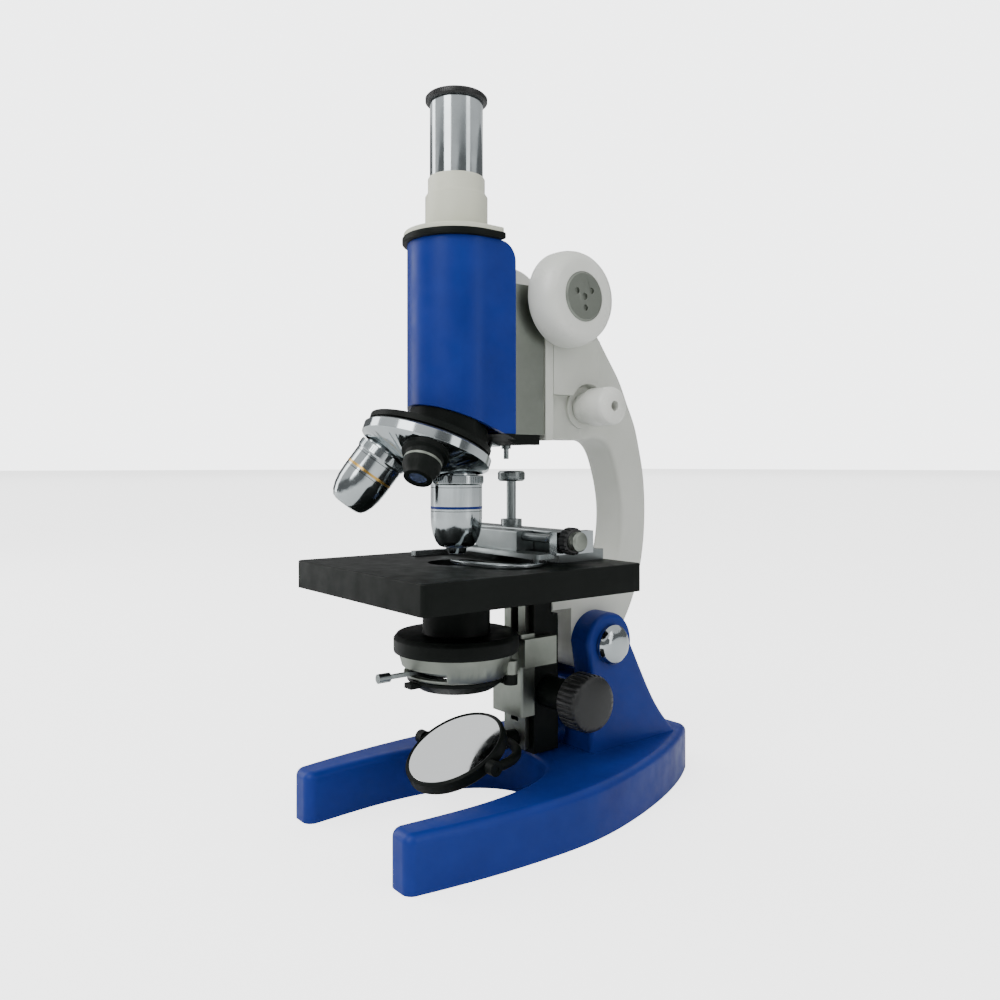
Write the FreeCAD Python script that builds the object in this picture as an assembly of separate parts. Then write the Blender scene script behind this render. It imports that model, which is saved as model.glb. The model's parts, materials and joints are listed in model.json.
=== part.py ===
import FreeCAD, Part
import math
import os

# A student's compound microscope: horseshoe base, inclining limb, square stage, focusing
# body with a triple nosepiece, sliding condenser and a swinging mirror.
#
# Everything is drawn in millimetres about the optical axis: X is sideways, +Y is to the
# back, +Z is up, and z = 0 is the table.  When a piece is written out it is moved along Y,
# so that the finished row's origin is the bottom centre of the base.

V = FreeCAD.Vector

# ---------------------------------------------------------------- driving dimensions
BASE_FRONT = -61.0          # front of the legs
BASE_BACK = 149.0           # back of the base
BASE_HALF = 60.3            # half width over the legs
BASE_HIGH = 24.4
BASE_EDGE = 4.0             # rounding of the base's top edges
ROW_SHIFT_Y = -(BASE_FRONT + BASE_BACK) / 2

PIVOT_Y = 82.0              # inclining joint
PIVOT_Z = 79.0
PIVOT_R = 4.5
EAR_R = 16.5
EAR_IN = 11.1
EAR_OUT = 24.0
EAR_SLOT_Z = 60.0

LIMB_HALF = 10.85           # half thickness of the limb
HEAD_HALF = 17.0            # half thickness of the focusing head
SHELF_TOP = 112.0           # seat of the stage
SHELF_FRONT = 53.0

STAGE_HALF = 58.2
STAGE_FRONT = -56.9
STAGE_BACK = 69.2
STAGE_TOP = 125.5
STAGE_PLATE = 5.0
STAGE_SKIRT = 4.0

SLIDE_BACK = 43.0           # sliding face between body slide and focus block
BLOCK_BACK = 48.0
BLOCK_LOW = 185.5
BLOCK_HIGH = 267.0
GUIDE_FRONT = 37.0          # front of the dovetail guide
GUIDE_HALF = 9.0
GUIDE_FLARE = 2.0
RUN = 0.15                  # clearance between sliding faces

COARSE_Y = 51.5             # coarse pinion
COARSE_Z = 256.0
COARSE_SHAFT_R = 5.0
COARSE_KNOB_R = 24.0
COARSE_KNOB_IN = 20.0
COARSE_KNOB_OUT = 36.0
COARSE_TEETH = 16
RACK_MODULE = 0.8
COARSE_PITCH_R = COARSE_TEETH * RACK_MODULE / 2

FINE_Y = 73.0               # fine spindle
FINE_Z = 203.0
FINE_SHAFT_R = 3.0
FINE_KNOB_R = 10.0

BODY_R = 24.0               # rounded front of the body
BODY_WALL = 2.5
BODY_BACK = 18.0
BODY_LOW = 188.0
BODY_HIGH = 279.5
TOP_PLATE_HIGH = 283.0
BOTTOM_PLATE_LOW = 183.0
COLLAR_R = 15.25
COLLAR_HIGH = 312.5
COLLAR_SEAT = 2.4
TUBE_R = 13.0
TUBE_BORE = 11.65
TUBE_LOW = 226.0
TUBE_HIGH = 349.0
EYE_RIM_R = 15.0

NOSE_TILT = 21.0            # lean of the nosepiece axis, degrees
NOSE_HOLE_R = 21.0          # radius of the circle of objectives
NOSE_SEAT_Z = 168.0         # seat of the working objective
NOSE_DISC_R = 31.5
NOSE_RIM = 5.6
OBJECTIVE_R = 12.6
OBJECTIVE_THREAD_R = 10.16
OBJECTIVE_TIP_Z = 130.0

CARRIAGE_FRONT = 36.0       # mechanical stage
CARRIAGE_BACK = 48.0
CARRIAGE_LOW = 131.0
CARRIAGE_HIGH = 141.0
POST_X = -12.0
POST_Y = 44.0
POST_TEETH = 16
POST_MODULE = 0.5
SCREW_Y = 30.0              # lateral screw
SCREW_Z = 137.6

TAIL_FRONT = 41.0           # tail bar that carries condenser and mirror
TAIL_BACK = 58.0
TAIL_LOW = 26.0
TAIL_HALF = 10.0
SUB_Y = 50.0                # condenser pinion
SUB_Z = 57.0
SUB_TEETH = 12
SUB_PITCH_R = SUB_TEETH * RACK_MODULE / 2
SUB_KNOB_X = 30.0           # inner face of the condenser knob

MIRROR_Z = 33.0
MIRROR_R = 26.0
MIRROR_LEAN = 28.0          # degrees from flat, facing the window
FORK_R = 29.5


# ---------------------------------------------------------------- small helpers
def box(x0, x1, y0, y1, z0, z1):
    return Part.makeBox(x1 - x0, y1 - y0, z1 - z0, V(x0, y0, z0))


def rod(radius, start, end):
    """Round bar between two points."""
    start = V(*start)
    run = V(*end) - start
    return Part.makeCylinder(radius, run.Length, start, run)


def cone(radius_start, radius_end, start, end):
    start = V(*start)
    run = V(*end) - start
    return Part.makeCone(radius_start, radius_end, run.Length, start, run)


def pipe(radius, bore, start, end):
    return rod(radius, start, end).cut(rod(bore, start, end))


def turned(outline, start=(0, 0, 0), axis=(0, 0, 1)):
    """Solid turned from (radius, height) points, standing on start along axis."""
    points = [V(radius, 0, height) for radius, height in outline]
    face = Part.Face(Part.makePolygon(points + points[:1]))
    solid = face.revolve(V(0, 0, 0), V(0, 0, 1), 360)
    solid = Part.makeSolid(Part.makeShell(solid.Faces)) if solid.ShapeType != "Solid" else solid
    if solid.Volume < 0:
        solid.reverse()
    turn = FreeCAD.Rotation(V(0, 0, 1), V(*axis))
    solid.Placement = FreeCAD.Placement(V(*start), turn)
    return solid


def plate_z(outline, z0, z1):
    """Flat plate with an outline of (x, y) points."""
    points = [V(x, y, z0) for x, y in outline]
    return Part.Face(Part.makePolygon(points + points[:1])).extrude(V(0, 0, z1 - z0))


def plate_x(outline, x0, x1):
    """Plate standing across X with an outline of (y, z) points."""
    points = [V(x0, y, z) for y, z in outline]
    return Part.Face(Part.makePolygon(points + points[:1])).extrude(V(x1 - x0, 0, 0))


def prism(edges, run):
    """Solid pushed along run from edges that close into one flat outline."""
    wire = Part.Wire(Part.__sortEdges__(edges))
    return Part.Face(wire).extrude(V(*run))


def curve(points):
    """Smooth edge through the points."""
    spline = Part.BSplineCurve()
    spline.interpolate(points)
    return spline.toShape()


def line(start, end):
    return Part.LineSegment(start, end).toShape()


def arc(start, middle, end):
    return Part.Arc(start, middle, end).toShape()


def join(*shapes):
    solid = shapes[0].fuse(list(shapes[1:])) if len(shapes) > 1 else shapes[0]
    return solid.removeSplitter()


def less(shape, *tools):
    return shape.cut(list(tools)) if len(tools) > 1 else shape.cut(tools[0])


def mirrored(shape):
    return shape.mirror(V(0, 0, 0), V(1, 0, 0))


def both_sides(shape):
    return [shape, mirrored(shape)]


def group(shapes):
    return Part.makeCompound(shapes)


def softened(shape, radius, wanted):
    """Rounds the edges that wanted(edge) picks."""
    edges = [edge for edge in shape.Edges if wanted(edge)]
    return shape.makeFillet(radius, edges)


def spun(shape, centre, axis, degrees):
    copy = shape.copy()
    copy.rotate(V(*centre), V(*axis), degrees)
    return copy


def around(shape, count, centre=(0, 0, 0), axis=(0, 0, 1), first=0.0):
    step = 360.0 / count
    return [spun(shape, centre, axis, first + step * index) for index in range(count)]


# ---------------------------------------------------------------- racks and pinions
def tooth_widths(module):
    """Half widths of a straight-sided tooth at its tip and at its root, with some play."""
    half = 0.40 * math.pi * module / 2
    slope = math.tan(math.radians(20))
    return half - 0.75 * module * slope, half + module * slope


def pinion(teeth, module, z0, z1):
    """Pinion about Z with the gap between two teeth facing +X."""
    tip_half, root_half = tooth_widths(module)
    pitch_r = teeth * module / 2
    root_r = pitch_r - module
    tip_r = pitch_r + 0.75 * module
    outline = []
    for index in range(teeth):
        angle = 2 * math.pi * (index + 0.5) / teeth
        along = V(math.cos(angle), math.sin(angle), 0)
        across = V(-math.sin(angle), math.cos(angle), 0)
        for radius, half in ((root_r, -root_half), (tip_r, -tip_half), (tip_r, tip_half),
                             (root_r, root_half)):
            point = along * radius + across * half
            outline.append((point.x, point.y))
    return plate_z(outline, z0, z1)


def rack_outline(module, first, count, pitch_line, back):
    """(depth, length) outline of a rack whose teeth point along +depth; tooth 0 is at length 0."""
    tip_half, root_half = tooth_widths(module)
    pitch = math.pi * module
    low = (first - 0.5) * pitch
    high = (first + count - 0.5) * pitch
    outline = [(back, high), (back, low), (pitch_line - module, low)]
    for index in range(first, first + count):
        middle = index * pitch
        outline.append((pitch_line - module, middle - root_half))
        outline.append((pitch_line + 0.75 * module, middle - tip_half))
        outline.append((pitch_line + 0.75 * module, middle + tip_half))
        outline.append((pitch_line - module, middle + root_half))
    outline.append((pitch_line - module, high))
    return outline


# ---------------------------------------------------------------- base
def base_outline(z):
    """Edges of the horseshoe: outer curve, legs and the gap between them."""
    back_half = 18.0
    tip_out = 53.0
    tip_in = 37.6
    corner = 5.0
    edges = [line(V(-back_half, BASE_BACK, z), V(back_half, BASE_BACK, z))]
    outer = [(back_half, BASE_BACK), (31.5, 127.0), (44.6, 97.0), (54.0, 67.0), (59.7, 37.0),
             (BASE_HALF, 5.0), (57.8, -27.0), (53.4, BASE_FRONT + corner)]
    inner = [(37.5, BASE_FRONT + corner), (39.6, -16.0), (38.0, 3.0), (33.0, 22.0), (20.0, 40.0),
             (0.0, 47.5)]
    for side in (1, -1):
        edges.append(curve([V(side * x, y, z) for x, y in outer]))
        start = V(side * outer[-1][0], outer[-1][1], z)
        end = V(side * (tip_out - corner), BASE_FRONT, z)
        edges.append(arc(start, V(side * (tip_out - 1.1), BASE_FRONT + 1.4, z), end))
        inner_start = V(side * (tip_in + corner), BASE_FRONT, z)
        edges.append(line(end, inner_start))
        inner_end = V(side * inner[0][0], inner[0][1], z)
        edges.append(arc(inner_start, V(side * (tip_in + 1.4), BASE_FRONT + 1.4, z), inner_end))
    left = [V(-x, y, z) for x, y in inner]
    right = [V(x, y, z) for x, y in reversed(inner)]
    edges.append(curve(left + right[1:]))
    return edges


def pillar():
    """Two ears with a slot between them, sloping down into the back of the base."""
    foot = BASE_HIGH - 3.0
    front = PIVOT_Y - EAR_R + 2.5
    top_front = V(0, PIVOT_Y - EAR_R + 0.1, PIVOT_Z + 2.0)
    top = V(0, PIVOT_Y, PIVOT_Z + EAR_R)
    top_back = V(0, PIVOT_Y + EAR_R - 0.6, PIVOT_Z - 1.5)
    slope = [top_back, V(0, 103.0, 68.0), V(0, 110.0, 55.0), V(0, 118.0, 42.0), V(0, 128.0, 30.0),
             V(0, 137.0, foot)]
    edges = [line(V(0, front, foot), V(0, front, PIVOT_Z - 12.0)),
             line(V(0, front, PIVOT_Z - 12.0), top_front),
             arc(top_front, top, top_back),
             curve(slope),
             line(slope[-1], V(0, front, foot))]
    solid = prism(edges, (2 * EAR_OUT, 0, 0))
    solid.translate(V(-EAR_OUT, 0, 0))
    return solid


def make_base():
    foot = prism(base_outline(0.0), (0, 0, BASE_HIGH))
    foot = softened(foot, 6.0, lambda edge: edge.BoundBox.ZLength > 20
                    and edge.BoundBox.YMin > BASE_BACK - 1)
    foot = softened(foot, BASE_EDGE, lambda edge: edge.BoundBox.ZMin > BASE_HIGH - 0.01)
    post = pillar()
    post = softened(post, 2.5, lambda edge: edge.BoundBox.ZMax > BASE_HIGH and edge.BoundBox.XLength < 0.01)
    slot = box(-EAR_IN, EAR_IN, BASE_FRONT, BASE_BACK, EAR_SLOT_Z, PIVOT_Z + 2 * EAR_R)
    hole = rod(PIVOT_R + 0.05, (-EAR_OUT - 1, PIVOT_Y, PIVOT_Z), (EAR_OUT + 1, PIVOT_Y, PIVOT_Z))
    solid = foot.fuse(post)
    return less(solid, slot, hole)


def make_pivot():
    head_r = 10.5
    axle = turned([(0, 0), (PIVOT_R, 0), (PIVOT_R, 53.5), (head_r, 53.5), (head_r, 56.0), (9.0, 58.0),
                   (6.0, 59.2), (0, 59.8)], (-29.5, PIVOT_Y, PIVOT_Z), (1, 0, 0))
    nut = pipe(10.0, PIVOT_R, (-EAR_OUT - 5.4, PIVOT_Y, PIVOT_Z), (-EAR_OUT, PIVOT_Y, PIVOT_Z))
    pins = [rod(1.3, (-EAR_OUT - 6, PIVOT_Y + side * 7.2, PIVOT_Z),
                (-EAR_OUT - 2, PIVOT_Y + side * 7.2, PIVOT_Z))
            for side in (1, -1)]
    return {"base_casting": make_base(), "pivot_bolt": axle, "pivot_nut": less(nut, *pins)}


# ---------------------------------------------------------------- limb
def limb_edges():
    """Side view of the limb: head, curved handle, shelf for the stage and pivot boss."""
    front = BLOCK_BACK + 0.3
    top = [(62.5, 262.0), (75.0, 255.0), (86.0, 243.0), (95.7, 230.0), (103.5, 219.0), (109.5, 207.0),
           (115.0, 196.0), (119.0, 183.0), (122.0, 170.0), (123.6, 155.0), (123.6, 140.0), (121.0, 120.0),
           (114.5, 100.0), (98.0, 76.0)]
    inside = [(82.0, 186.5), (92.7, 183.0), (98.0, 173.6), (101.6, 162.0), (103.5, 150.0), (103.0, 136.0),
              (99.5, 122.0), (93.0, SHELF_TOP)]
    boss_bottom = V(0, PIVOT_Y, PIVOT_Z - EAR_R + 0.5)
    boss_front = V(0, PIVOT_Y - EAR_R + 0.5, PIVOT_Z)

    def point(pair):
        return V(0, pair[0], pair[1])

    edges = [line(V(0, front, 186.5), V(0, front, 238.5)),
             line(V(0, front, 238.5), V(0, 62.5, 238.5)),
             line(V(0, 62.5, 238.5), point(top[0])),
             curve([point(pair) for pair in top]),
             arc(point(top[-1]), boss_bottom, boss_front),
             line(boss_front, V(0, PIVOT_Y - EAR_R + 0.5, 98.0)),
             line(V(0, PIVOT_Y - EAR_R + 0.5, 98.0), V(0, SHELF_FRONT, 98.0)),
             line(V(0, SHELF_FRONT, 98.0), V(0, SHELF_FRONT, SHELF_TOP)),
             line(V(0, SHELF_FRONT, SHELF_TOP), point(inside[-1])),
             curve([point(pair) for pair in inside]),
             line(point(inside[0]), V(0, front, 186.5))]
    return edges


def make_limb():
    plate = prism(limb_edges(), (2 * LIMB_HALF, 0, 0))
    plate.translate(V(-LIMB_HALF, 0, 0))

    def long_edge(edge):
        """The two face outlines of the curved handle."""
        bounds = edge.BoundBox
        flat = bounds.XLength < 0.01
        return flat and bounds.ZLength > 60 and bounds.YLength > 10

    plate = softened(plate, 3.0, long_edge)
    cheek = box(-HEAD_HALF, HEAD_HALF, BLOCK_BACK + 0.3, 84.0, 209.0, 238.5)
    cheek = softened(cheek, 5.0, lambda edge: edge.BoundBox.ZLength > 20 and edge.BoundBox.YMin > 80)
    cheek = less(cheek, rod(FINE_KNOB_R + 2.5, (-20, FINE_Y, FINE_Z), (20, FINE_Y, FINE_Z)))
    fine_boss = rod(11.0, (-12.4, FINE_Y, FINE_Z), (12.4, FINE_Y, FINE_Z))
    groove = box(-6.3, 6.3, BLOCK_BACK, 54.4, 187.0, 238.6)
    relief = box(-3.7, 3.7, BLOCK_BACK, 58.0, 186.0, 239.0)
    spindle = rod(FINE_SHAFT_R + 0.05, (-20, FINE_Y, FINE_Z), (20, FINE_Y, FINE_Z))
    pivot = rod(PIVOT_R + 0.05, (-20, PIVOT_Y, PIVOT_Z), (20, PIVOT_Y, PIVOT_Z))
    limb = join(plate, cheek, fine_boss)
    return less(limb, groove, relief, spindle, pivot)


def make_stage():
    plate = box(-STAGE_HALF, STAGE_HALF, STAGE_FRONT, STAGE_BACK, SHELF_TOP, STAGE_TOP)
    plate = softened(plate, 3.0, lambda edge: edge.BoundBox.ZLength > 5)
    plate = softened(plate, 0.8, lambda edge: edge.BoundBox.ZMin > STAGE_TOP - 0.01)
    inner = STAGE_HALF - STAGE_SKIRT
    hollow = box(-inner, inner, STAGE_FRONT + STAGE_SKIRT, STAGE_BACK - STAGE_SKIRT, SHELF_TOP - 1,
                 STAGE_TOP - STAGE_PLATE)
    seat = box(-15.0, 15.0, 46.0, STAGE_BACK - 1, SHELF_TOP, STAGE_TOP - 1)
    aperture = rod(14.0, (0, 0, SHELF_TOP), (0, 0, STAGE_TOP + 1))
    screws = [(x, y) for x in (-6.0, 6.0) for y in (58.0, 65.0)]
    holes = [rod(2.0, (x, y, SHELF_TOP - 1), (x, y, STAGE_TOP + 1)) for x, y in screws]
    sinks = [cone(2.0, 4.0, (x, y, STAGE_TOP - 2.0), (x, y, STAGE_TOP)) for x, y in screws]
    plate = join(less(plate, hollow), seat)
    heads = []
    for x, y in screws:
        shank = rod(2.0, (x, y, SHELF_TOP), (x, y, STAGE_TOP - 2.0))
        head = cone(2.0, 3.95, (x, y, STAGE_TOP - 2.0), (x, y, STAGE_TOP - 0.05))
        slot = box(x - 3, x + 3, y - 0.4, y + 0.4, STAGE_TOP - 0.9, STAGE_TOP)
        heads.append(less(join(shank, head), slot))
    return {"stage_plate": less(plate, aperture, *(holes + sinks))}, heads


GUIDE_FACE = 36.5           # front of the dovetail that the condenser slides on


def tail_guide_outline(play):
    """Dovetail outline, widened by play for the way that slides on it."""
    back = 6.5 + play
    front = 8.5 + play
    return [(-back, TAIL_FRONT), (back, TAIL_FRONT), (front, GUIDE_FACE - play),
            (-front, GUIDE_FACE - play)]


def make_tail():
    """Bar under the stage with a guide for the condenser and a bearing for the mirror."""
    bar = box(-TAIL_HALF, TAIL_HALF, TAIL_FRONT, SHELF_FRONT, TAIL_LOW, SHELF_TOP)
    thick = box(-TAIL_HALF, TAIL_HALF, TAIL_FRONT, TAIL_BACK, TAIL_LOW, 96.0)
    guide = plate_z(tail_guide_outline(0.0), 28.5, SHELF_TOP - 2)
    rack_way = box(-3.0, 3.0, 30.0, SUB_Y, 42.0, SHELF_TOP + 1)
    pinion_room = rod(6.3, (-3.4, SUB_Y, SUB_Z), (3.4, SUB_Y, SUB_Z))
    shaft_hole = rod(3.05, (-TAIL_HALF - 1, SUB_Y, SUB_Z), (TAIL_HALF + 1, SUB_Y, SUB_Z))
    pin_hole = rod(3.05, (0, 30, MIRROR_Z), (0, TAIL_BACK + 1, MIRROR_Z))
    housing = rod(8.0, (TAIL_HALF - 1, SUB_Y, SUB_Z), (SUB_KNOB_X - 0.5, SUB_Y, SUB_Z))
    housing_bore = rod(3.05, (0, SUB_Y, SUB_Z), (SUB_KNOB_X, SUB_Y, SUB_Z))
    bar = join(bar, thick)
    bar = softened(bar, 1.0, lambda edge: edge.BoundBox.ZLength > 60
                   and edge.BoundBox.YMin > TAIL_FRONT + 1)
    bar = join(bar, housing)
    screws = []
    places = [(x, 105.0) for x in (-5.6, 5.6)]
    holes = []
    for x, z in places:
        head = rod(2.4, (x, GUIDE_FACE + 0.6, z), (x, GUIDE_FACE + 2.6, z))
        shank = rod(1.3, (x, GUIDE_FACE + 2.6, z), (x, SHELF_FRONT, z))
        holes.append(rod(2.45, (x, GUIDE_FACE - 1, z), (x, GUIDE_FACE + 2.6, z)))
        holes.append(rod(1.3, (x, GUIDE_FACE, z), (x, SHELF_FRONT + 1, z)))
        screws.append(join(head, shank))
    bar = less(bar, rack_way, pinion_room, shaft_hole, housing_bore, pin_hole, *holes)
    guide = less(guide, rack_way, pin_hole, *holes)
    return {"tail_bar": bar, "condenser_guide": guide}, screws


# ---------------------------------------------------------------- focusing
def make_focus_block():
    """Fine-focus slide: front flange with the dovetail guide, and the coarse pinion's box."""
    flange = box(-HEAD_HALF, HEAD_HALF, SLIDE_BACK, BLOCK_BACK, BLOCK_LOW, BLOCK_HIGH)
    head = box(-HEAD_HALF, HEAD_HALF, SLIDE_BACK, 62.2, 240.0, BLOCK_HIGH)
    head = softened(head, 5.0, lambda edge: edge.BoundBox.XLength > 20 and edge.BoundBox.ZMin > 260
                    and edge.BoundBox.YMin > 60)
    key = box(-6.0, 6.0, BLOCK_BACK - 1, 54.0, 188.5, 236.5)
    flare = GUIDE_HALF + GUIDE_FLARE
    guide = plate_z([(-GUIDE_HALF, SLIDE_BACK), (GUIDE_HALF, SLIDE_BACK), (flare, GUIDE_FRONT),
                     (-flare, GUIDE_FRONT)],
                    BLOCK_LOW + 2, BLOCK_HIGH - 4)
    rack_way = box(-3.4, 3.4, GUIDE_FRONT - 1, SLIDE_BACK + 4.4, BLOCK_LOW - 1, BLOCK_HIGH + 1)
    gear_room = rod(7.6, (-4.2, COARSE_Y, COARSE_Z), (4.2, COARSE_Y, COARSE_Z))
    bush_hole = rod(7.0, (-20, COARSE_Y, COARSE_Z), (20, COARSE_Y, COARSE_Z))
    block = join(flange, head, key, guide)
    block = less(block, rack_way, gear_room, bush_hole)
    bush = pipe(7.0, COARSE_SHAFT_R + 0.05, (4.4, COARSE_Y, COARSE_Z),
                (HEAD_HALF + 1.2, COARSE_Y, COARSE_Z))
    return {"focus_block": block, "coarse_bushes": group(both_sides(bush))}


def make_coarse_drive():
    gear = pinion(COARSE_TEETH, RACK_MODULE, -4.0, 4.0)
    gear.rotate(V(0, 0, 0), V(0, 1, 0), 90)
    gear.rotate(V(0, 0, 0), V(1, 0, 0), -90)
    gear.translate(V(0, COARSE_Y, COARSE_Z))
    shaft = rod(COARSE_SHAFT_R, (-34.4, COARSE_Y, COARSE_Z), (34.4, COARSE_Y, COARSE_Z))
    axle = join(gear, shaft)
    face_r = 17.5
    plate_r = 12.3
    depth = COARSE_KNOB_OUT - COARSE_KNOB_IN
    rounding = [(face_r + (COARSE_KNOB_R - face_r) * math.cos(math.radians(step * 15)),
                 5.0 + (depth - 5.0) * math.sin(math.radians(step * 15))) for step in range(0, 7)]
    outline = [(COARSE_SHAFT_R, -1.4), (9.0, -1.4), (9.0, 0.0), (COARSE_KNOB_R - 1.5, 0.0),
               (COARSE_KNOB_R, 1.5)]
    outline = outline + rounding + [(plate_r, depth), (plate_r, depth - 1.5), (COARSE_SHAFT_R, depth - 1.5)]
    knob = turned(outline, (COARSE_KNOB_IN, COARSE_Y, COARSE_Z), (1, 0, 0))
    plate = turned([(0, 0), (plate_r - 0.1, 0), (plate_r - 0.1, 1.4), (plate_r - 0.9, 2.1), (0, 2.1)],
                   (COARSE_KNOB_OUT - 1.5, COARSE_Y, COARSE_Z), (1, 0, 0))
    drill = rod(1.5, (COARSE_KNOB_OUT - 0.7, COARSE_Y + 5.6, COARSE_Z),
                (COARSE_KNOB_OUT + 2, COARSE_Y + 5.6, COARSE_Z))
    drills = around(drill, 3, (0, COARSE_Y, COARSE_Z), (1, 0, 0), 35.0)
    centre = rod(1.7, (COARSE_KNOB_OUT - 0.7, COARSE_Y, COARSE_Z),
                 (COARSE_KNOB_OUT + 2, COARSE_Y, COARSE_Z))
    plate = less(plate, centre, *drills)
    return {"coarse_pinion": axle, "coarse_knob_right": knob, "coarse_knob_left": mirrored(knob),
            "coarse_plates": group(both_sides(plate))}


def make_fine_drive():
    spindle = rod(FINE_SHAFT_R, (-30, FINE_Y, FINE_Z), (30, FINE_Y, FINE_Z))
    start = 12.8
    depth = COARSE_KNOB_OUT - start
    outline = [(FINE_SHAFT_R, 0), (7.6, 0), (8.2, 1.0), (8.2, 6.0), (FINE_KNOB_R - 0.6, 7.0),
               (FINE_KNOB_R, 8.0), (FINE_KNOB_R, depth - 3.0), (FINE_KNOB_R - 0.9, depth - 1.0),
               (FINE_KNOB_R - 2.6, depth), (2.6, depth), (2.6, depth - 5.8), (FINE_SHAFT_R, depth - 5.8)]
    knob = turned(outline, (start, FINE_Y, FINE_Z), (1, 0, 0))
    return {"fine_spindle": spindle, "fine_knobs": group(both_sides(knob))}


# ---------------------------------------------------------------- body
def body_edges(radius, back, z):
    """Flat outline with a round front and straight sides to the back."""
    front = arc(V(radius, 0, z), V(0, -radius, z), V(-radius, 0, z))
    left = line(V(-radius, 0, z), V(-radius, back, z))
    rear = line(V(-radius, back, z), V(radius, back, z))
    right = line(V(radius, back, z), V(radius, 0, z))
    return [front, left, rear, right]


def nose_axis():
    lean = math.radians(NOSE_TILT)
    return V(0, -math.sin(lean), -math.cos(lean))


def nose_centre():
    """Point on the nosepiece axis level with the seats' middle."""
    lean = math.radians(NOSE_TILT)
    return V(0, -NOSE_HOLE_R * math.cos(lean), NOSE_SEAT_Z + NOSE_HOLE_R * math.sin(lean))


def nose_at(height):
    """Point on the nosepiece axis, height up from the seats."""
    return nose_centre() - nose_axis() * height


def below_nose_plane(height):
    """Large block that holds everything under the slanting plane at this height."""
    size = 300.0
    block = Part.makeCylinder(size, size, nose_at(height), nose_axis())
    return block


MOUNT_LOW = 10.6            # slanting faces of the nosepiece's fixed part, up from the seats
MOUNT_RIM = 13.4
MOUNT_HIGH = 22.7


def make_body():
    shell = prism(body_edges(BODY_R, BODY_BACK, BODY_LOW), (0, 0, BODY_HIGH - BODY_LOW))
    shell = softened(shell, 9.0, lambda edge: edge.BoundBox.XLength > 40
                     and edge.BoundBox.YMin > BODY_BACK - 1
                     and edge.BoundBox.ZMin > BODY_HIGH - 1)
    room = prism(body_edges(BODY_R - BODY_WALL, BODY_BACK - 4.0, BODY_LOW - 1),
                 (0, 0, BODY_HIGH - BODY_LOW - 9.0))
    tube_hole = rod(TUBE_R + 0.8, (0, 0, BODY_LOW), (0, 0, BODY_HIGH + 1))
    shell = less(shell, room, tube_hole, below_nose_plane(MOUNT_HIGH))
    top = prism(body_edges(BODY_R + 2.4, 10.0, BODY_HIGH), (0, 0, TOP_PLATE_HIGH - BODY_HIGH))
    top = softened(top, 0.9, lambda edge: edge.BoundBox.ZLength < 0.01)
    top = less(top, rod(TUBE_R + 0.8, (0, 0, BODY_HIGH - 1), (0, 0, TOP_PLATE_HIGH + 1)))
    bottom = box(-HEAD_HALF, HEAD_HALF, 10.0, 40.0, BOTTOM_PLATE_LOW, BODY_LOW)
    wide = prism(body_edges(BODY_R, BODY_BACK, BOTTOM_PLATE_LOW), (0, 0, BODY_LOW - BOTTOM_PLATE_LOW))
    bottom = join(bottom, wide)
    bottom = softened(bottom, 2.0, lambda edge: edge.BoundBox.ZLength > 3 and edge.BoundBox.YMin > 39)
    flare = GUIDE_HALF + GUIDE_FLARE + 0.6
    notch = box(-flare, flare, GUIDE_FRONT - 0.6, 50.0, 180.0, 190.0)
    bottom = less(bottom, notch, below_nose_plane(MOUNT_HIGH))
    peg = join(rod(1.35, (0, 31.0, 176.0), (0, 31.0, BOTTOM_PLATE_LOW)),
               rod(2.4, (0, 31.0, 181.2), (0, 31.0, BOTTOM_PLATE_LOW)))
    collar = turned([(TUBE_R + 0.05, 0), (COLLAR_R, 0), (COLLAR_R, 20.0), (COLLAR_R - 0.9, 21.4),
                     (COLLAR_R - 1.3, 22.4), (COLLAR_R - 1.3, 28.7), (COLLAR_R - 1.8, 29.5),
                     (TUBE_R + 0.05, 29.5)], (0, 0, TOP_PLATE_HIGH))
    seat = prism(body_edges(BODY_R + 1.6, 9.4, TOP_PLATE_HIGH), (0, 0, COLLAR_SEAT))
    seat = softened(seat, 0.8, lambda edge: edge.BoundBox.ZLength < 0.01
                    and edge.BoundBox.ZMin > TOP_PLATE_HIGH)
    collar = join(collar, less(seat, rod(TUBE_R + 0.5, (0, 0, BODY_HIGH), (0, 0, COLLAR_HIGH))))
    return {"body_shell": shell, "body_top_plate": top, "body_bottom_plate": bottom, "stop_peg": peg,
            "tube_collar": collar}


def make_body_slide():
    """Block behind the body with a dovetail way, and the rack between its two sides."""
    slide = box(-HEAD_HALF, HEAD_HALF, BODY_BACK, SLIDE_BACK - RUN, BODY_LOW, 262.0)
    slide = softened(slide, 1.5, lambda edge: edge.BoundBox.ZLength > 50)
    half = GUIDE_HALF + RUN
    flare = GUIDE_HALF + GUIDE_FLARE + RUN
    way = plate_z([(-half, SLIDE_BACK), (half, SLIDE_BACK), (flare, GUIDE_FRONT - RUN),
                   (-flare, GUIDE_FRONT - RUN)],
                  BODY_LOW - 1, 263.0)
    core = box(-HEAD_HALF + 5, HEAD_HALF - 5, BODY_BACK + 4, GUIDE_FRONT - 6, BODY_LOW - 1, 258.0)
    slide = less(slide, way, core)
    outline = rack_outline(RACK_MODULE, -20, 22, COARSE_Y - COARSE_PITCH_R, GUIDE_FRONT - RUN)
    rack = plate_x([(y, z + COARSE_Z) for y, z in outline], -3.0, 3.0)
    return {"body_slide": slide, "body_rack": rack}


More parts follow.
